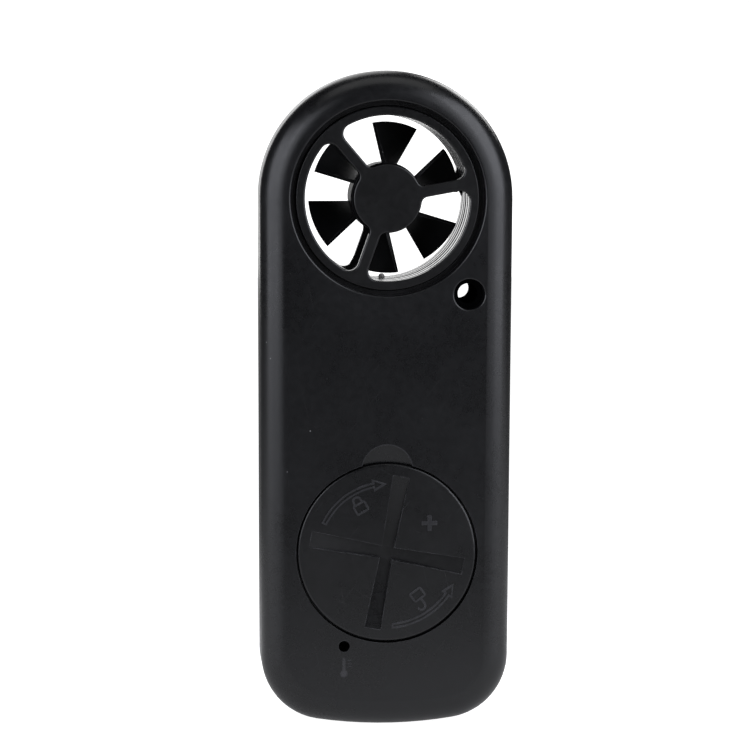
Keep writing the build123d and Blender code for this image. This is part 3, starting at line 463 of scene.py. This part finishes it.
def pale_symbol_and_scoop_highlight(tree):
    """The sunk thermometer under the pinhole, painted paler, and a painted highlight along the rim of the
    fingernail scoop.
    """
    floor = use_group(tree, DEPTH_BAND, From=BACK_Y + 0.05 * MM, To=BACK_Y + 0.25 * MM)["Inside"]
    near = use_group(tree, DISC, X=PIN.x, Z=PIN.z - SYMBOL_DROP, Radius=SYMBOL_REACH)["Inside"]
    sunk = math(tree, "MULTIPLY", floor, near)
    # painted highlight: a thin pale line along the scoop's rim, outside the door
    scoop = use_group(tree, DISC, X=DOOR.x, Z=DOOR_TOP - SCOOP_DROP, Radius=SCOOP_RADIUS)["Distance"]
    off = math(tree, "ABSOLUTE", math(tree, "SUBTRACT", scoop, SCOOP_RADIUS))
    scoop_highlight = ramp(tree, off, 0.04 * MM, 0.16 * MM, 1.0, 0.0)
    outside = use_group(tree, DISC, X=DOOR.x, Z=DOOR.z, Radius=DOOR_TOP - DOOR.z + 0.1 * MM)["Inside"]
    scoop_highlight = math(tree, "MULTIPLY", scoop_highlight, math(tree, "SUBTRACT", 1.0, outside))
    shallow = use_group(tree, DEPTH_BAND, From=BACK_Y - 0.1 * MM, To=BACK_Y + 1.5 * MM)["Inside"]
    scoop_highlight = math(tree, "MULTIPLY", math(tree, "MULTIPLY", scoop_highlight, shallow), 0.55)
    return math(tree, "MAXIMUM", math(tree, "MULTIPLY", sunk, 0.8), scoop_highlight)


def from_axis(place, axis):
    """The distance of a place from a line that runs along Y through axis."""
    return Vector((place.x - axis.x, place.z - axis.z)).length


def in_lanyard_hole(face):
    """True on the walls of the lanyard hole and of its wider mouth."""
    return from_axis(face.center, LANYARD) < LANYARD_MOUTH


def on_hub_side(face):
    """True on the side of a guard's hub, not on its flat faces."""
    return from_axis(face.center, DUCT) < HUB_REACH and abs(face.normal.y) < 0.7


def on_duct_wall(face):
    """True on the bored wall that the two guards share."""
    return abs(from_axis(face.center, DUCT) - DUCT_RADIUS) < 0.4 * MM and abs(face.normal.y) < 0.3


def dress_faces(material, test, *names):
    """Gives the faces of CAD nodes that pass the test a material of their own."""
    for name in names:
        mesh = nodes[name].data
        mesh.materials.append(material)
        for face in mesh.polygons:
            if test(face):
                face.material_index = len(mesh.materials) - 1


# each black moulding varies between two tones
CASE_TONES = (0.0030, 0.0031, 0.0036), (0.0042, 0.0044, 0.0051)
DOOR_TONES = (0.0032, 0.0033, 0.0037), (0.0045, 0.0046, 0.0051)
GUARD_TONES = (0.0030, 0.0030, 0.0033), (0.0044, 0.0045, 0.0048)
FAN_TONES = (0.0028, 0.0028, 0.0030), (0.0042, 0.0042, 0.0045)
BUTTON_TONES = (0.10, 0.105, 0.115), (0.125, 0.13, 0.14)


def dress_outside():
    dress(black_plastic("case_black", *CASE_TONES, 0.29, dust=1.0, scratch=0.12, polished=pale_symbol_and_scoop_highlight),
          "rear_casing", "front_casing")
    dress_faces(black_plastic("bore_black", *CASE_TONES, 0.5, shine=0.0, wear_and_highlight=0.0),
                in_lanyard_hole, "rear_casing", "front_casing")
    dress(black_plastic("door_black", *DOOR_TONES, 0.30, dust=0.6, scratch=0.2, wear_and_highlight=1.0,
                        polished=raised_marks_highlight),
          "battery_door")
    dress(black_plastic("guard_black", *GUARD_TONES, 0.30, dust=1.0, scratch=0.15),
          "rear_guard", "front_guard")
    dress_faces(black_plastic("hub_black", *GUARD_TONES, 0.45, shine=0.0, wear_and_highlight=0.0),
                on_hub_side, "rear_guard", "front_guard")
    dress_faces(black_plastic("duct_gloss", *GUARD_TONES, 0.10, dust=0.0, scratch=0.0, wear_and_highlight=0.0,
                              shine=1.0, turned=True),
                on_duct_wall, "rear_guard", "front_guard")
    dress(black_plastic("fan_black", *FAN_TONES, 0.45, dust=0.5, scratch=0.0, shine=0.15), "rotor")
    dress(tinted_plastic("button_grey", *BUTTON_TONES, 0.45), "mode_button", "set_button")
    dress(clear_window(), "display_window")


# name, two tones, roughness, stretch of the lines along each axis, and the pieces
DRAWN = (3.0, 40.0, 3.0)
BRUSHED = (8.0, 8.0, 8.0)
METALS = (
    ("steel", (0.50, 0.50, 0.51), (0.66, 0.66, 0.66), 0.22, DRAWN,
     ("rotor_shaft", "cell_contact_negative", "cell_contact_positive", "clock_crystal")),
    ("cell_nickel", (0.60, 0.60, 0.58), (0.74, 0.73, 0.71), 0.25, BRUSHED, ("coin_cell",)),
    ("black_steel", (0.10, 0.10, 0.105), (0.16, 0.16, 0.165), 0.35, DRAWN,
     ("bay_screws", "window_screws", "board_screws")),
    ("bearing_brass", (0.55, 0.38, 0.15), (0.70, 0.52, 0.24), 0.25, DRAWN,
     ("rear_bearing", "front_bearing")),
)

# name, two tones, roughness, grain, and the pieces
PLASTICS = (
    ("ferrite", (0.030, 0.030, 0.033), (0.050, 0.050, 0.053), 0.55, 3000.0, ("rotor_magnet",)),
    ("seal_rubber", (0.012, 0.012, 0.012), (0.020, 0.020, 0.020), 0.70, 3000.0, ("battery_door_seal",)),
    ("green_laminate", (0.010, 0.085, 0.030), (0.016, 0.120, 0.045), 0.30, 2000.0, ("circuit_board",)),
    ("chip_epoxy", (0.012, 0.012, 0.013), (0.022, 0.022, 0.024), 0.60, 5200.0,
     ("main_chip", "speed_sensor")),
    ("ceramic", (0.35, 0.24, 0.14), (0.45, 0.32, 0.20), 0.45, 5200.0, ("board_capacitors",)),
    ("bead_glass", (0.55, 0.53, 0.50), (0.72, 0.70, 0.66), 0.15, 5200.0, ("temperature_sensor",)),
    ("holder_white", (0.62, 0.62, 0.60), (0.70, 0.70, 0.68), 0.50, 5200.0, ("lcd_holder",)),
    ("strip_grey", (0.18, 0.18, 0.18), (0.24, 0.24, 0.24), 0.65, 5200.0,
     ("lcd_connectors", "lcd_gasket")),
    ("tape_black", (0.006, 0.006, 0.006), (0.010, 0.010, 0.010), 0.55, 2500.0, ("window_tape",)),
    ("light_guide", (0.70, 0.74, 0.72), (0.78, 0.82, 0.80), 0.25, 5200.0, ("lcd_backlight",)),
    ("lcd_polariser", (0.165, 0.185, 0.150), (0.185, 0.205, 0.168), 0.22, 7000.0, ("lcd_panel",)),
    ("switch_black", (0.020, 0.020, 0.021), (0.032, 0.032, 0.034), 0.50, 5200.0,
     ("mode_switch_body", "set_switch_body", "mode_switch_plunger", "set_switch_plunger",
      "unit_switch_body", "unit_switch_plunger")),
)


def dress_inside():
    for name, dark, light, roughness, stretch, pieces in METALS:
        dress(turned_metal(name, dark, light, roughness, stretch), *pieces)
    for name, dark, light, roughness, grain, pieces in PLASTICS:
        dress(tinted_plastic(name, dark, light, roughness, grain), *pieces)


# ---------------------------------------------------------------- the scene
add_camera()
add_world()
add_lights()
add_floor()
dress_outside()
dress_inside()
bpy.context.scene.view_settings.view_transform = "Standard"
